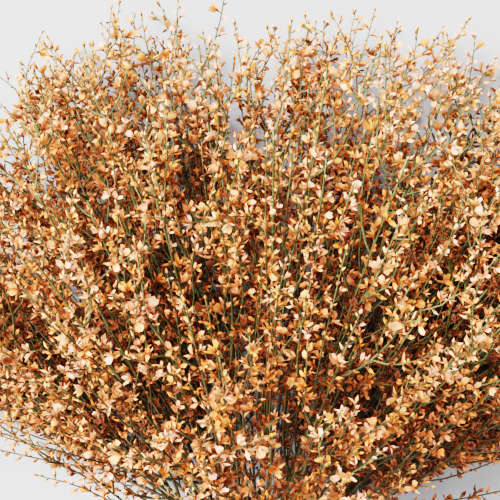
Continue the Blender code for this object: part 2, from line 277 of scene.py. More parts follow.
def takeRoom(owner, points, radius):
    balls = [(*point, radius, owner) for point in points]
    room["balls"] = np.vstack([room["balls"], balls])


def isFree(owner, points, radius, clearance):
    points = np.array(points)
    if points[:, 2].min() - radius < mainTwigs["floorClearance"]:
        return False
    margin = radius + footTwigs["bloomRadius"] + clearance
    balls = room["balls"][room["balls"][:, 4] != owner]
    near = (balls[:, :3] > points.min(axis=0) - margin).all(axis=1)
    near &= (balls[:, :3] < points.max(axis=0) + margin).all(axis=1)
    apart = points[:, None] - balls[near, :3]
    reach = balls[near, 3] + radius + clearance
    return bool(((apart**2).sum(axis=2) >= reach**2).all())


def marksAlong(points, spacing):
    marks = []
    for a, b in itertools.pairwise(points):
        count = max(1, round((b - a).length / spacing))
        marks += [a.lerp(b, k / count) for k in range(count)]
    return marks + [points[-1]]


def growBunch(spots):
    flat = [growSpray(k, spot, (0, 0), Vector(), 0) for k, spot in enumerate(spots)]
    lowest = min(stalkAt(spray, spray["stalk"]).z for spray in flat)
    origin = Vector((0, 0, bunch["stemRadius"] - lowest))
    sprays = []
    for index, (spot, way) in enumerate(zip(spots, fanWays(spots))):
        for jitter in (1, 0.5, 0):
            spray = growSpray(index, spot, way, origin, jitter)
            marks = marksAlong([place for _, place in spray["stations"]], bunch["step"])
            if isFree(index, marks, bunch["stemRadius"], bunch["stalkGap"] / 2):
                break
        takeRoom(index, marks, bunch["stemRadius"])
        sprays.append(spray)
    return sprays, origin


def roundAxis(reach, angle, height):
    return Vector((math.cos(angle) * reach, math.sin(angle) * reach, height))


def footGuards():
    # corners, notches, throat and edge middles of the frame's large bloom, in its radii
    lean = math.atan(footTwigs["cornerSlope"])
    own = footTwigs["cornerShare"]
    wide = math.atan2(own * math.sin(lean), own * math.cos(lean) + (1 - own))
    throat = Vector((0, 0, footTwigs["throat"]))
    notchReach, notchHeight = footTwigs["notch"]
    points = [throat]
    for k, (reach, height) in enumerate(footTwigs["petals"]):
        middle = math.radians(30 + 120 * k)
        left, right = (roundAxis(reach, middle + side * wide, height) for side in (-1, 1))
        before, after = (roundAxis(notchReach, middle + side * math.radians(60), notchHeight)
                         for side in (-1, 1))
        points += [left, right, after, left * footTwigs["inner"], right * footTwigs["inner"]]
        for a, b in ((left, right), (left, before), (right, after), (left, throat),
                     (right, throat), (before, after)):
            points.append((a + b) / 2)
    return points


def growFeet(sprays):
    guards = footGuards()
    feet = {}
    for yaw in footTwigs["yaws"]:
        near = [s for s in sprays
                if abs(s["yaw"] - yaw) < footTwigs["near"] and s["index"] not in feet]
        spray = min(near, key=lambda s: s["rise"])
        start, ahead = onStations(spray, footTwigs["start"])
        flat = Vector((ahead.x, ahead.y, 0)).normalized()
        end = start + flat * (footTwigs["run"] * spray["length"])
        end.z = footTwigs["height"]
        sag = footTwigs["sag"] * (start.z - end.z)
        knee = start.lerp(end, footTwigs["knee"]) - upWay * sag
        marks = marksAlong([start, knee, end], bunch["step"])
        takeRoom(spray["index"], marks, mainTwigs["radius"])
        axis = (flat - upWay * footTwigs["nod"]).normalized()
        turn = axis.to_track_quat("Z", "Y").to_matrix().to_4x4()
        place = Matrix.Translation(end - axis * footTwigs["sunk"]) @ turn
        place = place @ Matrix.Scale(footTwigs["bloomRadius"], 4)
        takeRoom(-1, [place @ guard for guard in guards], footTwigs["guard"])
        feet[spray["index"]] = (start, knee, end)
    return feet


def growMainTwig(spray, k):
    height = k / (mainTwigs["count"] - 1)
    share = mainTwigs["first"] + (mainTwigs["last"] - mainTwigs["first"]) * height
    start, ahead = onStations(spray, share)
    out = outward(ahead, spray["turn"] + k * goldenAngle)
    run, longer = mainTwigs["run"]
    along = (1 - share) * spray["length"] * (run + longer * height) + mainTwigs["more"]
    kneeAlong, kneeOut = mainTwigs["knee"]
    wide, narrower = mainTwigs["narrowing"]
    for ease in mainTwigs["tries"]:
        spread = mainTwigs["spread"] * ease * (wide - narrower * share)
        knee = start + ahead * (kneeAlong * along) + out * (kneeOut * spread)
        end = start + ahead * along + out * spread
        marks = marksAlong([start.lerp(knee, mainTwigs["clear"]), knee, end], bunch["step"])
        if isFree(spray["index"], marks, mainTwigs["radius"], mainTwigs["clearance"]):
            takeRoom(spray["index"], marks, mainTwigs["radius"])
            return start, knee, end
    return None


stalkSpots = pressStalks()
sprays, tieOrigin = growBunch(stalkSpots)
feet = growFeet(sprays)
twigs = [[] for _ in sprays]
for k in reversed(range(mainTwigs["count"])):
    for spray in sprays:
        grown = growMainTwig(spray, k)
        if grown:
            twigs[spray["index"]].append(grown)
for index, grown in feet.items():
    twigs[index].append(grown)
tieLow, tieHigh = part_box("tie")
shift = (tieLow + tieHigh) / 2 - tieOrigin
tieSpot = tieOrigin + shift
print("bunch grown:", sum(len(own) for own in twigs), "main twigs, moved by", tuple(shift))


# Finishes

def addNode(tree, kind, **settings):
    node = tree.nodes.new(kind)
    for key, value in settings.items():
        setattr(node, key, value)
    return node


def addNoise(tree, scale, detail):
    place = addNode(tree, "ShaderNodeTexCoord")
    cloud = addNode(tree, "ShaderNodeTexNoise")
    cloud.inputs["Scale"].default_value = scale
    cloud.inputs["Detail"].default_value = detail
    tree.links.new(place.outputs["Object"], cloud.inputs["Vector"])
    return cloud.outputs["Fac"]


def addRamp(tree, stops, value):
    ramp = addNode(tree, "ShaderNodeValToRGB")
    elements = ramp.color_ramp.elements
    while len(elements) < len(stops):
        elements.new(0.5)
    for element, (position, colour) in zip(elements, stops):
        element.position = position
        element.color = (*colour, 1)
    tree.links.new(value, ramp.inputs["Fac"])
    return ramp.outputs["Color"]


def feed(tree, sockets, values):
    # each value is a socket, a number or a colour
    for socket, value in zip(sockets, values):
        if isinstance(value, bpy.types.NodeSocket):
            tree.links.new(value, socket)
        else:
            socket.default_value = (*value, 1) if isinstance(value, tuple) else value


def mixColours(tree, blend, factor, first, second):
    mix = addNode(tree, "ShaderNodeMix", data_type="RGBA", blend_type=blend)
    feed(tree, (mix.inputs[0], mix.inputs[6], mix.inputs[7]), (factor, first, second))
    return mix.outputs[2]


def mathNode(tree, operation, first, second):
    node = addNode(tree, "ShaderNodeMath", operation=operation)
    feed(tree, node.inputs, (first, second))
    return node.outputs[0]


def mapRange(tree, value, low, high, first, second):
    node = addNode(tree, "ShaderNodeMapRange")
    ends = [node.inputs[name] for name in ("Value", "From Min", "From Max", "To Min", "To Max")]
    feed(tree, ends, (value, low, high, first, second))
    return node.outputs["Result"]


def spreadNoise(tree, cloud, first, second):
    # a noise seldom leaves 0.3 to 0.7
    return mapRange(tree, cloud, 0.3, 0.7, first, second)


def readTag(tree, name):
    return addNode(tree, "ShaderNodeAttribute", attribute_name=name).outputs["Fac"]


def newFinish(name, look, paint):
    # paint makes the base colour
    material = bpy.data.materials.new(name)
    material.use_nodes = True
    tree = material.node_tree
    surface = tree.nodes["Principled BSDF"].inputs
    for key, value in look["surface"].items():
        surface[key].default_value = value
    tree.links.new(paint(tree, look), surface["Base Color"])
    if "grain" in look:
        # bump and uneven shine from one fine noise
        scale, strength, depth = look["grain"]
        grain = addNoise(tree, scale, 3)
        bump = addNode(tree, "ShaderNodeBump")
        bump.inputs["Strength"].default_value = strength
        bump.inputs["Distance"].default_value = depth
        tree.links.new(grain, bump.inputs["Height"])
        tree.links.new(bump.outputs["Normal"], surface["Normal"])
        rough = look["surface"]["Roughness"]
        shine = spreadNoise(tree, grain, rough - unevenRough, rough + unevenRough)
        tree.links.new(shine, surface["Roughness"])
    return material


petalLook = {
    "tones": (
        (0.00, (0.070, 0.013, 0.006)),  # dry red-brown
        (0.14, (0.220, 0.060, 0.020)),
        (0.28, (0.530, 0.165, 0.054)),  # deep orange
        (0.44, (0.730, 0.240, 0.104)),  # apricot
        (0.62, (0.800, 0.284, 0.148)),
        (0.80, (0.850, 0.332, 0.200)),  # peach
        (1.00, (0.890, 0.420, 0.290)),  # cream
    ),
    "throat": (0.72, 0.34, 0.17),  # what the petal's root is multiplied by
    "throatRange": (0.05, 0.55),
    "edge": (0.86, 0.42, 0.27),
    "edgeShare": 0.20,
    "blotches": 260,
    "mottle": 0.22,
    "deeper": (1.0, 0.88, 0.42),  # what the deeper orange patches are multiplied by
    "deeperScale": 52,
    "deeperRange": (0.46, 0.62),
    "surface": {
        "Roughness": 0.6,
        "Specular IOR Level": 0.08,  # dull and dry
        "Subsurface Weight": 0.16,  # light that comes through a petal
        "Subsurface Radius": (1.0, 0.45, 0.2),
        "Subsurface Scale": 0.004,
    },
    "grain": (1400, 0.35, 0.0002),  # scale, strength and depth of the bump
}


def mottle(tree, look, value, detail):
    blotch = addNoise(tree, look["blotches"], detail)
    uneven = spreadNoise(tree, blotch, -look["mottle"] / 2, look["mottle"] / 2)
    return mathNode(tree, "ADD", value, uneven)


def paintPetals(tree, look):
    tone, along, rim = (readTag(tree, name) for name in ("tone", "along", "rim"))
    colour = addRamp(tree, look["tones"], mottle(tree, look, tone, 3))
    root = mapRange(tree, along, *look["throatRange"], 1.0, 0.0)
    colour = mixColours(tree, "MULTIPLY", root, colour, look["throat"])
    wide = addNoise(tree, look["deeperScale"], 3)
    deeper = mapRange(tree, wide, *look["deeperRange"], 0.0, 1.0)
    colour = mixColours(tree, "MULTIPLY", deeper, colour, look["deeper"])
    edge = mathNode(tree, "MULTIPLY", rim, look["edgeShare"])
    edge = mathNode(tree, "MULTIPLY", edge, along)
    return mixColours(tree, "MIX", edge, colour, look["edge"])


calyxLook = {
    "tones": (
        (0.0, (0.100, 0.080, 0.020)),  # stalk
        (0.35, (0.150, 0.070, 0.016)),
        (0.58, (0.160, 0.038, 0.010)),  # red-brown cup
        (1.0, (0.300, 0.070, 0.016)),
    ),
    "blotches": 500,
    "mottle": 0.36,
    "surface": {"Roughness": 0.6},
    "grain": (1600, 0.4, 0.0002),
}


def paintCalyces(tree, look):
    return addRamp(tree, look["tones"], mottle(tree, look, readTag(tree, "along"), 2))


stemLook = {
    "oldAndShaded": (0.56, 0.36, 0.24),  # what the part near the tie is multiplied by: older stem, and painted shade deep in the bunch
    "ages": (0.4, 1.05),  # how far from the tie the older, painted-shade part ends, in reaches
    "patches": 38,
    "dust": (0.30, 0.28, 0.16),
    "dustFlecks": 900,
    "dustRange": (0.45, 0.75),
    "dustShare": 0.5,
    "surface": {"Roughness": 0.5},
    "grain": (1100, 0.5, 0.0003),
    "tones": (
        (0.25, (0.052, 0.040, 0.008)),
        (0.42, (0.066, 0.074, 0.017)),
        (0.55, (0.080, 0.118, 0.044)),
        (0.68, (0.122, 0.175, 0.086)),
        (0.80, (0.125, 0.085, 0.026)),
    ),
}


def paintStems(tree, look):
    colour = addRamp(tree, look["tones"], addNoise(tree, look["patches"], 3))
    fleck = addNoise(tree, look["dustFlecks"], 3)
    dust = mapRange(tree, fleck, *look["dustRange"], 0.0, look["dustShare"])
    colour = mixColours(tree, "MIX", dust, colour, look["dust"])
    # painted shade and older stem: darker towards the tie
    oldAndShaded = mapRange(tree, readTag(tree, "young"), *look["ages"], 1.0, 0.0)
    return mixColours(tree, "MULTIPLY", oldAndShaded, colour, look["oldAndShaded"])


twineLook = {
    "tones": (
        (0.3, (0.26, 0.16, 0.075)),
        (0.5, (0.42, 0.29, 0.15)),
        (0.7, (0.60, 0.46, 0.28)),
    ),
    "patches": 420,
    "surface": {"Roughness": 0.85},
    "grain": (2600, 0.7, 0.0003),
}


def paintTwine(tree, look):
    return addRamp(tree, look["tones"], addNoise(tree, look["patches"], 4))


petals = newFinish("petals", petalLook, paintPetals)
calyces = newFinish("calyces", calyxLook, paintCalyces)
stems = newFinish("stems", stemLook, paintStems)
twine = newFinish("twine", twineLook, paintTwine)
print("finishes made")


# Flower parts, each modelled once

def addObject(name, data):
    obj = bpy.data.objects.new(name, data)
    bpy.context.scene.collection.objects.link(obj)
    return obj


def pickOut(*parts):
    # selects these alone, the first one active
    bpy.ops.object.select_all(action="DESELECT")
    for part in parts:
        part.select_set(True)
    bpy.context.view_layer.objects.active = parts[0]


def moveVert(index, way):
    # moves one vertex in edit mode
    mesh = bpy.context.edit_object.data
    shape = bmesh.from_edit_mesh(mesh)
    shape.verts.index_update()
    for vert in shape.verts:
        vert.select = vert.index == index
    shape.select_flush_mode()
    bmesh.update_edit_mesh(mesh)
    bpy.ops.transform.translate(value=way)


def closeShape(angle=0):
    # welds the mesh, turns its faces outward and leaves edit mode
    bpy.ops.mesh.select_all(action="SELECT")
    bpy.ops.mesh.remove_doubles(threshold=weldGap)
    bpy.ops.mesh.normals_make_consistent(inside=False)
    bpy.ops.object.mode_set(mode="OBJECT")
    if angle:
        bpy.ops.object.shade_smooth_by_angle(angle=math.radians(angle))


def readPlaces(mesh):
    places = np.empty(len(mesh.vertices) * 3, np.float32)
    mesh.vertices.foreach_get("co", places)
    return places.reshape(-1, 3)


def tagMesh(mesh, along, rim, tone=0.0):
    # along runs from a part's root to its end, rim is 1 on a petal's edge
    for name, values in (("along", along), ("rim", rim), ("tone", [tone] * len(along))):
        layer = mesh.attributes.new(name, "FLOAT", "POINT")
        layer.data.foreach_set("value", values)


def giveSlots(obj, index):
    # every part has both finishes, so that joining keeps their order
    obj.data.materials.append(petals)
    obj.data.materials.append(calyces)
    for face in obj.data.polygons:
        face.material_index = index


def drawPetal(petal):
    # a fan of faces round a sunk middle, doubled into a thin closed blade
    outline = [Vector(point) for point in petal["outline"]]
    middle = Vector(petal["middle"])
    bpy.ops.mesh.primitive_circle_add(
        vertices=len(outline), radius=1, fill_type="TRIFAN", enter_editmode=True)
    obj = bpy.context.active_object
    starts = [vert.co.copy() for vert in bmesh.from_edit_mesh(obj.data).verts]
    hub = min(range(len(starts)), key=lambda k: starts[k].length)
    rim = [k for k in range(len(starts)) if k != hub]
    rim.sort(key=lambda k: math.atan2(starts[k].y, starts[k].x))
    for index, (along, across, lift) in zip([*rim, hub], [*outline, middle]):
        moveVert(index, Vector((across, along, lift)) * mm - starts[index])
    bpy.ops.mesh.select_all(action="SELECT")
    bpy.ops.mesh.duplicate()
    bpy.ops.mesh.flip_normals()
    moveVert(hub, (0, 0, petal["thick"] * mm))
    moveVert(hub + len(starts), (0, 0, -petal["thick"] * mm))
    closeShape(55)
    length = max(point[0] for point in petal["outline"]) * mm
    along = [min(max(vert.co.y / length, 0), 1) for vert in obj.data.vertices]
    hubSpot = Vector((middle[1], middle[0])) * mm
    onEdge = [float((vert.co.xy - hubSpot).length > mm / 100) for vert in obj.data.vertices]
    tagMesh(obj.data, along, onEdge, petal["tone"])
    giveSlots(obj, 0)
    return obj


def standPetal(obj, lean, turn, roll):
    # the blade stands on the flower's axis, leans back, then turns round the axis
    place = Matrix.Translation((0, 0, calyxTop * mm))
    place = place @ Matrix.Rotation(math.radians(turn), 4, "Z")
    place = place @ Matrix.Rotation(math.radians(90 - lean), 4, "X")
    place = place @ Matrix.Rotation(math.radians(roll), 4, "Y")
    pickOut(obj)
    obj.matrix_world = place
    bpy.ops.object.transform_apply(location=True, rotation=True, scale=True)
    return obj


def drawRings(sides, rings):
    # a small round body, drawn up ring by ring from a filled circle
    (last, wide), *rest = rings
    bpy.ops.mesh.primitive_circle_add(
        vertices=sides, radius=wide * mm, fill_type="NGON", enter_editmode=True,
        location=(0, 0, last * mm))
    for height, radius in rest:
        bpy.ops.mesh.extrude_region_move(
            TRANSFORM_OT_translate={"value": (0, 0, (height - last) * mm)})
        bpy.ops.transform.resize(value=(radius / wide, radius / wide, 1))
        last, wide = height, radius
    closeShape(60)
    bpy.ops.object.transform_apply(location=True, rotation=True, scale=True)
    obj = bpy.context.active_object
    top = rings[-1][0] * mm
    along = [vert.co.z / top for vert in obj.data.vertices]
    tagMesh(obj.data, along, [0.0] * len(along))
    return obj


def joinParts(name, parts):
    pickOut(*parts)
    bpy.ops.object.join()
    parts[0].name = name
    return parts[0]


# outline: points of the edge from the root round, and the middle, each as distance along
# the blade, distance across it and lift, in millimetres
blades = {
    "broad": {"outline": ((0, 0, 0), (1.5, 1.3, -0.1), (3.5, 2.2, -0.5), (5.0, 1.3, 0.5),
                          (4.5, 0, 0.2), (5.1, -1.2, 0.6), (3.6, -2.1, -0.4),
                          (1.5, -1.3, -0.1)),
              "middle": (2.9, 0, -1.0), "thick": 0.13, "tone": 0.0},
    "cupped": {"outline": ((0, 0, 0), (1.7, 1.4, 0.6), (3.7, 1.9, 0.9), (5.0, 0.9, 0.3),
                           (4.9, -0.8, 0.4), (3.6, -1.8, 1.0), (1.6, -1.4, 0.6)),
               "middle": (2.8, 0, -0.5), "thick": 0.13, "tone": -0.02},
    "pointed": {"outline": ((0, 0, 0), (1.6, 1.1, 0.1), (3.7, 1.3, -0.4), (5.4, 0.3, 0.8),
                            (3.5, -1.3, -0.3), (1.6, -1.1, 0.2)),
                "middle": (2.6, 0, -0.8), "thick": 0.13, "tone": 0.03},
    "twisted": {"outline": ((0, 0, 0), (1.9, 1.3, -0.5), (4.2, 1.4, 0.4), (5.1, 0.0, 1.2),
                            (4.0, -1.2, 1.0), (1.8, -1.2, 0.4)),
                "middle": (2.7, 0, -0.4), "thick": 0.13, "tone": 0.0},
    "wing": {"outline": ((0, 0, 0), (2.0, 1.1, 0.3), (4.1, 0.9, -0.2), (4.8, -0.3, 0.3),
                         (2.3, -0.9, 0.4)),
             "middle": (2.3, 0, -0.4), "thick": 0.12, "tone": 0.10},
    "sliver": {"outline": ((0, 0, 0), (2.6, 0.9, 0.4), (5.0, 0.1, -0.3), (2.8, -0.8, 0.4)),
               "middle": (2.5, 0, -0.3), "thick": 0.12, "tone": 0.08},
    "keel": {"outline": ((0, 0, 0), (2.0, 0.8, 1.0), (4.2, 0, 0.9), (2.0, -0.8, 1.0)),
             "middle": (2.1, 0, -0.3), "thick": 0.12, "tone": 0.16},
}

# each flower: its petals as (blade, lean, turn, roll)
flowerKinds = {
    "open": (
        (("broad", 40, 0, 0), ("wing", 46, 140, 20), ("wing", 40, -132, -24),
         ("keel", 14, 180, 0)),
        (("cupped", 62, 0, 12), ("wing", 34, 118, 30), ("sliver", 56, -128, -10),
         ("keel", 26, 180, 0)),
        (("broad", 26, 0, -10), ("sliver", 66, 130, 0), ("wing", 28, -108, -30),
         ("sliver", 44, 176, 20)),
        (("pointed", 74, 0, -14), ("pointed", 58, 108, 20), ("sliver", 48, -100, 10),
         ("keel", 12, 190, 0)),
        (("twisted", 50, 0, 24), ("wing", 70, 164, 20), ("wing", 34, -92, 10),
         ("sliver", 20, 96, -30)),
    ),
    "half": (
        (("cupped", 14, 0, 0), ("sliver", 30, 165, 10)),
        (("pointed", 30, 0, 20), ("wing", 46, 170, -10)),
        (("twisted", 8, 0, -15), ("sliver", 54, 140, 0)),
        (("sliver", 36, 0, 14), ("sliver", 30, 130, 30), ("sliver", 44, -120, -20)),
        (("wing", 52, 0, 25), ("pointed", 18, 150, -20)),
    ),
}
calyxRings = ((0.0, 0.20), (1.6, 0.30), (3.1, 0.92))
calyxTop = 2.6  # where the petals stand in the cup
# each bud: its sides and its rings
budKinds = (
    (4, ((0.0, 0.20), (1.5, 0.42), (3.6, 1.15), (6.4, 0.14))),
    (3, ((0.0, 0.18), (0.9, 0.32), (2.0, 0.74), (3.7, 0.10))),
    (4, ((0.0, 0.22), (2.0, 0.82), (5.4, 0.16))),
    (3, ((0.0, 0.20), (1.4, 0.40), (3.0, 1.00), (5.2, 0.12))),
)
budCup = 0.40  # share of a bud's height that its calyx covers

masters = {"open": [], "half": [], "bud": []}
for kind, designs in flowerKinds.items():
    for k, design in enumerate(designs):
        parts = [drawRings(3, calyxRings)]
        giveSlots(parts[0], 1)
        for blade, lean, turn, roll in design:
            parts.append(standPetal(drawPetal(blades[blade]), lean, turn, roll))
        masters[kind].append(joinParts(f"{kind}_{k}", parts))
for k, (sides, rings) in enumerate(budKinds):
    bud = drawRings(sides, rings)
    giveSlots(bud, 1)
    top = rings[-1][0] * mm
    for face in bud.data.polygons:
        if face.center.z > top * budCup:
            face.material_index = 0
    bud.name = f"bud_{k}"
    masters["bud"].append(bud)
for kind, made in masters.items():
    print(kind, "faces:", [sum(len(f.vertices) - 2 for f in obj.data.polygons) for obj in made])


# Where the flowers sit on a spray

fineTwigs = {
    "stem": {"count": 10, "first": 0.09, "last": 0.97, "spread": 0.056,
             "run": (0.40, 0.86), "more": (0.018, 0.040)},
    "lowStem": {"count": 26, "first": 0.26, "last": 0.99, "spread": 0.062,
                "run": (0.30, 0.78), "more": (0.022, 0.040)},
    "twig": {"count": 4, "first": 0.26, "last": 0.92, "spread": 0.026,
             "run": (0.40, 0.90), "more": (0.016, 0.036)},
    "lowRise": math.radians(24),  # sprays below it have the twigs of lowStem
    "outer": 0.42,  # up to this share more of them on the outer low sprays
    "outerYaws": (math.radians(12), math.radians(30)),
    "crowding": 0.8,  # below 1, there are more towards the tip
    "firstTurn": 1.3,
    "unevenTurn": 0.4,
    "spreads": (0.3, 1.1),
    "narrowing": 0.3,
    "widest": 0.62,  # as a share of the length
    "knee": (0.32, 0.45),
    "kneeOut": 0.66,
    "wander": 0.026,
    "sway": (0.0012, 0.0055),  # side swings of a twig
    "swings": (1.0, 2.6),
    "radius": (0.0006, 0.0003),
    "mainRadius": (0.0009, 0.00045),
    "knots": (0.9, 1.15),  # where the flowers sit a twig is a little uneven
    "spacing": 0.012,
    "ground": 0.006,  # hardly anything comes closer to the table
    "mainGround": 0.004,
    "pressed": 0.05,
    "beyond": 0.002,  # how far a twig may pass the frame's box
}

flowering = {
    "from": 0.15,  # share of a twig where its flowers begin
    "stemFrom": 0.42,  # and of a spray's stem
    "budsFrom": 0.90,
    "tipBuds": 0.75,  # share of the flowers beyond it that are closed
    "spacing": 0.0040,
    "budSpacing": 0.0038,
    "unevenSpacing": (0.75, 1.25),
    "open": 0.24,  # shares of the flowers
    "half": 0.36,
    "size": (0.70, 1.16),
    "openSize": 1.18,
    "lowSize": 1.28,
    "tipSize": (0.8, 1.0),
    "unevenSize": (0.9, 1.1),
    "budLean": 0.8,
    "lean": (0.5, 2.2),
    "drift": 0.4,
    "sprayTone": (0.36, 0.69),
    "clusterTone": 0.13,
    "flowerTone": 0.16,
    "patchScale": 26,  # patches of paler and of deeper bloom
    "patchTone": 0.66,
    "corners": 0.24,  # painted light and shade: darker low on the right, paler low on the left
    "cornerFrom": 0.12,
    "cornerRange": 0.09,
    "gapScale": 31,  # patches of thinner bloom, where the shade shows
    "gapBelow": -0.06,
    "gapThinned": 0.80,
    "gapOver": 0.045,  # what lies lower is never thinned
    "paintedShadeAndTone": 0.42,  # painted light and shade: what stands in the open is paler, what stands crowded darker
    "airCell": 0.009,
    "airPad": 8,  # empty cells round the bloom
    "airReach": 0.018,
    "deep": 1.05,  # painted shade: what stands deep in the bunch is darker
    "deepFrom": 0.22,
    "deepBin": math.radians(9),
    "under": 7.5,  # painted shade: what lies under higher bloom is darker, per metre below it
    "underShadeRange": (0.018, 0.075),
    "underCell": 0.012,
    "hidden": (0.080, 0.34),  # so far under and behind others, each second one is left out
    "ground": 0.0002,  # no petal comes closer to the table
    "seed": 31,
}


def isInside(place):
    low, high = cadBox
    beyond = fineTwigs["beyond"]
    return all(a - beyond < value < b + beyond for a, value, b in zip(low, place, high))


def twigPath(start, knee, end):
    # a smooth arc from the stem through the knee
    pull = knee * 2 - (start + end) / 2
    length = (knee - start).length + (end - knee).length
    count = max(4, round(length / fineTwigs["spacing"]))
    path = []
    for k in range(count + 1):
        t = k / count
        path.append(start * (1 - t)**2 + pull * (2 * t * (1 - t)) + end * t**2)
    return path


def liftPath(path, ground):
    # what would lie lower than the ground line is pressed up to it
    for place in path:
        if place.z < ground:
            place.z = ground - (ground - place.z) * fineTwigs["pressed"]
    return path


def onLine(line, share):
    # place and direction at a share of the way along a line of places
    at = share * (len(line) - 1)
    k = min(int(at), len(line) - 2)
    return line[k].lerp(line[k + 1], at - k), (line[k + 1] - line[k]).normalized()


def growFineTwig(parent, length, settings, j, turn, rng):
    share = ((j + rng.random()) / settings["count"]) ** fineTwigs["crowding"]
    share = settings["first"] + (settings["last"] - settings["first"]) * share
    start, ahead = onLine(parent, share)
    uneven = fineTwigs["unevenTurn"]
    turn += fineTwigs["firstTurn"]
    out = outward(ahead, turn + j * goldenAngle + rng.uniform(-uneven, uneven))
    along = (1 - share) * length * rng.uniform(*settings["run"]) + rng.uniform(*settings["more"])
    spread = settings["spread"] * rng.uniform(*fineTwigs["spreads"])
    spread = min(spread * (1.0 - fineTwigs["narrowing"] * share), along * fineTwigs["widest"])
    knee = start + ahead * (along * rng.uniform(*fineTwigs["knee"]))
    knee += out * (spread * fineTwigs["kneeOut"])
    wander = outward(ahead, rng.uniform(0, 2 * math.pi)) * rng.uniform(0, fineTwigs["wander"])
    end = start + ahead * along + out * spread + wander
    path = twigPath(start, knee, end)
    aside = outward(ahead, rng.uniform(0, 2 * math.pi)) * rng.uniform(*fineTwigs["sway"])
    swings = rng.uniform(*fineTwigs["swings"])
    path = [place + aside * math.sin(math.pi * swings * k / (len(path) - 1))
            for k, place in enumerate(path)]
    while len(path) > 3 and not isInside(path[-1]):
        path.pop()
    return liftPath(path, fineTwigs["ground"])


def seatsOn(path, rng, first):
    # seats along a path as (place, way on, share of the path), closer together near its end
    spacing = flowering["spacing"]
    lengths = [0]
    for a, b in itertools.pairwise(path):
        lengths.append(lengths[-1] + (b - a).length)
    total = lengths[-1]
    s = total * first + spacing * rng.random()
    seats = []
    k = 0
    while s < total:
        while lengths[k + 1] < s:
            k += 1
        a, b = path[k], path[k + 1]
        part = (s - lengths[k]) / (lengths[k + 1] - lengths[k])
        seats.append((a.lerp(b, part), (b - a).normalized(), s / total))
        step = spacing if s < total * flowering["budsFrom"] else flowering["budSpacing"]
        s += step * rng.uniform(*flowering["unevenSpacing"])
    return seats


def flowerMatrix(place, axis, size, spin):
    turn = axis.to_track_quat("Z", "Y").to_matrix().to_4x4()
    return (Matrix.Translation(place) @ turn @ Matrix.Rotation(spin, 4, "Z")
            @ Matrix.Diagonal((*size, 1)))


def flowersOn(path, base, rng, first=flowering["from"]):
    flowers = []
    seats = seatsOn(path, rng, first)
    turn = rng.uniform(0, 2 * math.pi)
    for place, ahead, share in seats:
        turn += goldenAngle
        out = outward(ahead, turn)
        if share > flowering["budsFrom"] and rng.random() < flowering["tipBuds"]:
            kind, lean = "bud", flowering["budLean"]
        else:
            draw = rng.random()
            kind = "open" if draw < flowering["open"] else "half"
            if draw > flowering["open"] + flowering["half"]:
                kind = "bud"
            lean = rng.uniform(*flowering["lean"])
        loose = flowering["drift"]
        drift = Vector(rng.uniform(-loose, loose) for _ in range(3))
        axis = (ahead + out * lean + drift).normalized()
        size = rng.uniform(*flowering["size"])
        if place.z < flowering["gapOver"]:
            size *= flowering["lowSize"]
        if kind == "open":
            size *= flowering["openSize"]
        sizes = [size * rng.uniform(*flowering["unevenSize"]) for _ in range(3)]
        which = rng.randrange(len(masters[kind]))
        tone = rng.gauss(base, flowering["flowerTone"])
        spin = rng.uniform(0, 2 * math.pi)
        flowers.append((kind, which, flowerMatrix(place, axis, sizes, spin), tone))
    tip = path[-1]
    axis = (path[-1] - path[-2]).normalized()
    size = rng.uniform(*flowering["tipSize"])
    flowers.append(("bud", 0, flowerMatrix(tip, axis, (size,) * 3, turn), base))
    return flowers


def openAir(places):
    # how open the air outward of or above each place is, ranked from 0 to 1
    cell, pad = flowering["airCell"], flowering["airPad"]
    low = places.min(axis=0) - pad * cell
    index = ((places - low) / cell).astype(int)
    crowd = np.zeros(index.max(axis=0) + pad + 1)
    np.add.at(crowd, tuple(index.T), 1)
    for axis in range(3):
        crowd = crowd + np.roll(crowd, 1, axis) + np.roll(crowd, -1, axis)
    away = places - np.array(tieSpot)
    away /= np.linalg.norm(away, axis=1)[:, None]
    covers = []
    for way in (away, np.array(upWay)):
        at = ((places + way * flowering["airReach"] - low) / cell).astype(int)
        covers.append(crowd[tuple(at.T)])
    least = np.minimum(*covers)
    ranks = np.empty(len(least))
    ranks[least.argsort(kind="stable")] = np.arange(len(least)) / len(least)
    return 1 - ranks


def depthOf(places):
    # how far each place lies behind the furthest flowers round its own direction
    away = places - np.array(tieSpot)
    reach = np.linalg.norm(away, axis=1)
    turned = np.arctan2(away[:, 0], away[:, 1]) + math.pi
    raised = np.arcsin(away[:, 2] / reach) + math.pi / 2
    bins = [(angle / flowering["deepBin"]).astype(int) + 1 for angle in (turned, raised)]
    furthest = np.zeros((bins[0].max() + 2, bins[1].max() + 2))
    np.maximum.at(furthest, tuple(bins), reach)
    for axis in (0, 1):
        around = np.maximum(np.roll(furthest, 1, axis), np.roll(furthest, -1, axis))
        furthest = np.maximum(furthest, around)
    return 1 - reach / furthest[tuple(bins)]


def coverOf(places):
    # how far each place lies under the highest flower above it
    cells = ((places - places.min(axis=0)) / flowering["underCell"]).astype(int)
    highest = np.zeros(cells[:, :2].max(axis=0) + 1)
    np.maximum.at(highest, (cells[:, 0], cells[:, 1]), places[:, 2])
    return highest[cells[:, 0], cells[:, 1]] - places[:, 2]


def copyFlowers(flowers, paintedShadeAndTones):
    # each flower is a copy of its master with its own mesh and its own tone, painted light and
    # shade added to it
    copies = []
    for (kind, which, place, tone), paintedShadeAndTone in zip(flowers, paintedShadeAndTones):
        mesh = masters[kind][which].data.copy()
        mesh.transform(place)
        lowest = float(readPlaces(mesh)[:, 2].min())
        if lowest < flowering["ground"]:
            mesh.transform(Matrix.Translation((0, 0, flowering["ground"] - lowest)))
        tones = np.empty(len(mesh.vertices), np.float32)
        mesh.attributes["tone"].data.foreach_get("value", tones)
        mesh.attributes["tone"].data.foreach_set("value", tones + min(max(tone + paintedShadeAndTone, 0), 1))
        copies.append(addObject("flower", mesh))
    return copies


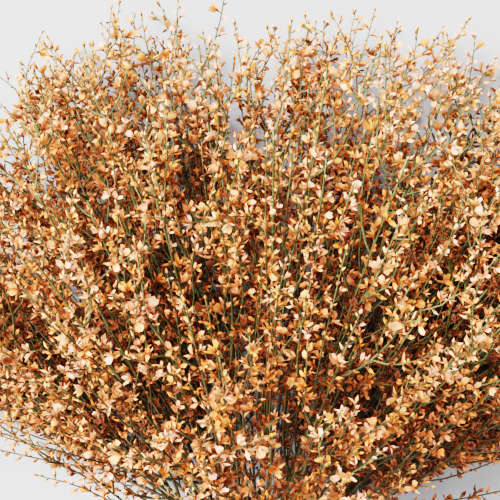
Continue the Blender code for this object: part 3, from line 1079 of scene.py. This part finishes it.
def drawStems(name, lines, resolution, finish):
    # round stems from lists of (place, radius)
    curve = bpy.data.curves.new(name, "CURVE")
    curve.dimensions = "3D"
    curve.bevel_depth = 1
    curve.bevel_resolution = resolution
    curve.use_fill_caps = True
    for line in lines:
        spline = curve.splines.new("POLY")
        spline.points.add(len(line) - 1)
        for point, (place, radius) in zip(spline.points, line):
            point.co = (*place, 1)
            point.radius = radius
    pickOut(addObject(name, curve))
    bpy.ops.object.convert(target="MESH")
    obj = bpy.context.active_object
    bpy.ops.object.mode_set(mode="EDIT")
    closeShape()
    obj.data.materials.clear()
    obj.data.materials.append(finish)
    away = np.linalg.norm(readPlaces(obj.data) - np.array(tieSpot), axis=1)
    young = obj.data.attributes.new("young", "FLOAT", "POINT")
    young.data.foreach_set("value", away / bunch["reach"])
    return obj


def stemLine(spray):
    count = bunch["stalkPoints"]
    line = [(stalkAt(spray, spray["stalk"] * (1 - k / count)) + shift, bunch["stemRadius"])
            for k in range(count)]
    for s, place in spray["path"]:
        share = s / spray["length"]
        radius = bunch["stemRadius"] + (bunch["fineTip"] - bunch["stemRadius"]) * share
        line.append((place + shift, radius))
    return line


def taperLine(path, radii, rng):
    first, last = radii
    count = len(path) - 1
    return [(place, (first + (last - first) * k / count) * rng.uniform(*fineTwigs["knots"]))
            for k, place in enumerate(path)]


def growTwigs(spray, rng):
    # the spray's own stem, and all its twigs as (path, radii, tone)
    stem = [place + shift for _, place in spray["path"]]
    low = spray["rise"] < fineTwigs["lowRise"]
    mains = [(stem, spray["length"], spray["tone"], fineTwigs["lowStem" if low else "stem"])]
    grown = []
    for main in twigs[spray["index"]]:
        path = twigPath(*(place + shift for place in main))
        path = liftPath(path, fineTwigs["mainGround"])
        length = sum((b - a).length for a, b in itertools.pairwise(path))
        tone = rng.gauss(spray["tone"], flowering["clusterTone"])
        grown.append((path, fineTwigs["mainRadius"], tone))
        mains.append((path, length, tone, fineTwigs["twig"]))
    first, last = fineTwigs["outerYaws"]
    outer = smoothstep((abs(spray["yaw"]) - first) / (last - first)) if low else 0
    for parent, length, tone, settings in mains:
        turn = rng.uniform(0, 2 * math.pi)
        count = round(settings["count"] * (1 + fineTwigs["outer"] * outer))
        settings = dict(settings, count=count)
        for j in range(count):
            path = growFineTwig(parent, length, settings, j, turn, rng)
            spot = path[len(path) // 2]
            thin = noise.noise(spot * flowering["gapScale"] + upWay) < flowering["gapBelow"]
            thin = thin and spot.z > flowering["gapOver"]
            if rng.random() < flowering["gapThinned"] and thin:
                continue
            grown.append((path, fineTwigs["radius"], tone))
    return stem, grown


for spray in sprays:
    rng = random.Random(flowering["seed"] * 1000 + spray["index"])
    spray["tone"] = rng.uniform(*flowering["sprayTone"])
    stem, grown = growTwigs(spray, rng)
    spray["flowers"] = flowersOn(stem, spray["tone"], rng, flowering["stemFrom"])
    for path, _, tone in grown:
        spray["flowers"] += flowersOn(path, tone, rng)
    spray["lines"] = [taperLine(path, radii, rng) for path, radii, _ in grown]
places = np.array([place.translation for spray in sprays for _, _, place, _ in spray["flowers"]])
patches = np.array([noise.noise(Vector(place) * flowering["patchScale"]) for place in places])
# painted light and shade: paler in the open air, darker where crowded; the patches below are tone
# at random
paintedShadeAndTones = flowering["paintedShadeAndTone"] * (openAir(places) - 0.5)
# painted shade: darker deep in the bunch
paintedShadeAndTones -= flowering["deep"] * (depthOf(places) - flowering["deepFrom"])
paintedShadeAndTones += flowering["patchTone"] * patches
# painted light and shade: paler low on the left, darker low on the right
lower = np.clip((flowering["cornerFrom"] - places[:, 1]) / flowering["cornerRange"], 0, 1)
right = np.clip(places[:, 0] / flowering["cornerRange"], -1, 1)
paintedShadeAndTones -= flowering["corners"] * lower * right
covers = coverOf(places)
# painted shade: darker under higher bloom
least, most = flowering["underShadeRange"]
paintedShadeAndTones -= flowering["under"] * (np.clip(covers, least, most) - least)
under, behind = flowering["hidden"]
hidden = (covers > under) & (depthOf(places) > behind) & (places[:, 2] > flowering["gapOver"])
hidden[::2] = False
print("flowers:", len(places), "of which left out inside:", hidden.sum())

triangles = 0
for spray in sprays:
    node = f"spray_{spray['index'] + 1:02d}"
    thick = drawStems(node + "_stem", [stemLine(spray)], 1, stems)
    thin = drawStems(node + "_twigs", spray["lines"], 0, stems)
    green = joinParts(node + "_green", [thick, thin])
    count = len(spray["flowers"])
    own, paintedShadeAndTones = paintedShadeAndTones[:count], paintedShadeAndTones[count:]
    inside, hidden = hidden[:count], hidden[count:]
    shown = [flower for flower, skip in zip(spray["flowers"], inside) if not skip]
    copies = copyFlowers(shown, own[~inside])
    spare = [copy.data for copy in copies[1:]]
    bloom = joinParts(node + "_bloom", copies)
    bpy.data.batch_remove(spare)
    for piece, slot in ((green, "stems"), (bloom, "petals")):
        triangles += len(piece.data.loops) - 2 * len(piece.data.polygons)
        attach(piece, "root")
        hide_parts(node)
bpy.data.batch_remove([obj for made in masters.values() for obj in made])
print("sprays dressed:", triangles, "triangles")


# The tie: four turns of two-ply twine

tie = {
    "turns": 4,
    "radius": 0.0011,  # of the twine
    "gap": 0.0003,  # between the stalks and the twine
    "plies": 2,
    "ply": 0.62,  # a ply's radius, as a share of the twine's
    "pitch": 0.0052,  # of the twist
    "steps": 132,  # points on each turn
    "close": 0.98,  # how close the turns lie
    "tuckSteps": 8,
    "tuckDepth": 1.3,
}


def drawTie():
    middle = max(spot.length for spot in stalkSpots) + bunch["stemRadius"]
    middle += tie["gap"] + tie["radius"]
    lines = []
    total = tie["turns"] * tie["steps"]
    run = 2 * math.pi * middle * tie["turns"]
    for ply in range(tie["plies"]):
        line = []
        for k in range(total + 1):
            turned = 2 * math.pi * k / tie["steps"]
            share = k / total
            # both ends dip between the stalks, under the turn beside them
            tuck = max(0, 1 - min(share, 1 - share) * total / tie["tuckSteps"])
            out = sideWay * math.cos(turned) + riseWay * math.sin(turned)
            twist = 2 * math.pi * (run * share / tie["pitch"] + ply / tie["plies"])
            away = tie["radius"] * (1 - tie["ply"])
            radius = middle - tuck * tie["radius"] * tie["tuckDepth"] + math.cos(twist) * away
            slide = (share - 0.5) * tie["turns"] * 2 * tie["radius"] * tie["close"]
            place = tieSpot + out * radius + axisWay * (slide + math.sin(twist) * away)
            line.append((place, tie["radius"] * tie["ply"]))
        lines.append(line)
    obj = drawStems("tie_twine", lines, 1, twine)
    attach(obj, "root")
    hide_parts("tie")


drawTie()
print("tie wound")


# Table, light and camera

tableLook = {
    "size": 16.0,
    "colour": (0.330, 0.345, 0.368),
    "darker": 0.97,
    "patches": 3,
    "surface": {"Roughness": 0.9, "Specular IOR Level": 0.05},
}

studio = {
    "horizon": (1.30, 1.34, 1.39),
    "overhead": (0.056, 0.054, 0.056),
    "skyStops": (0.0, 0.03, 0.10),  # the horizon's colour from and to, and the other's start
    # each lamp: the way it comes from, strength, width in degrees and colour
    "key": ((-2.50, 0.75, 1.95), 8.8, 20, (1.0, 0.975, 0.93)),
    "soft": ((-0.90, 0.42, 3.00), 5.8, 36, (1.0, 0.98, 0.95)),
    "front": ((-1.80, -1.60, 1.30), 2.2, 40, (1.0, 0.97, 0.94)),
}

view = {
    "centre": (-0.0044, 0.134),
    "height": 1.05,
    "plane": 0.05,  # height of the plane that the frame's width is measured on
    "width": 0.325,
    "sensor": 36,
    "turn": math.radians(2.5),
}


def paintTable(tree, look):
    shade = spreadNoise(tree, addNoise(tree, look["patches"], 3), 0.0, 1.0)
    low = tuple(c * look["darker"] for c in look["colour"])
    return mixColours(tree, "MIX", shade, low, look["colour"])


def drawTable():
    bpy.ops.mesh.primitive_plane_add(size=tableLook["size"], location=(0, 0, 0))
    table = bpy.context.active_object
    table.name = "table"
    table.data.materials.append(newFinish("table", tableLook, paintTable))


def addWorld():
    # as bright as the table at the horizon, and dim overhead for a deep shade
    world = bpy.data.worlds.new("studio")
    world.use_nodes = True
    tree = world.node_tree
    place = addNode(tree, "ShaderNodeTexCoord")
    split = addNode(tree, "ShaderNodeSeparateXYZ")
    tree.links.new(place.outputs["Generated"], split.inputs["Vector"])
    colours = (studio["horizon"], studio["horizon"], studio["overhead"])
    colour = addRamp(tree, list(zip(studio["skyStops"], colours)), split.outputs["Z"])
    tree.links.new(colour, tree.nodes["Background"].inputs["Color"])
    bpy.context.scene.world = world


def addLamp(name, way, strength, width, colour):
    lamp = bpy.data.lights.new(name, "SUN")
    lamp.energy = strength
    lamp.angle = math.radians(width)
    lamp.color = colour
    obj = addObject(name, lamp)
    obj.location = way
    obj.rotation_euler = Vector(way).to_track_quat("Z", "Y").to_euler()


def addCamera():
    data = bpy.data.cameras.new("camera")
    data.sensor_width = view["sensor"]
    data.lens = view["sensor"] * (view["height"] - view["plane"]) / view["width"]
    data.clip_start = 0.01
    camera = addObject("camera", data)
    camera.location = (*view["centre"], view["height"])
    camera.rotation_euler = (0, 0, view["turn"])
    bpy.context.scene.camera = camera


drawTable()
addWorld()
for name in ("key", "soft", "front"):
    addLamp(name, *studio[name])
addCamera()
display = bpy.context.scene.view_settings
display.view_transform = "Filmic"
display.look = "Very High Contrast"
print("studio set")
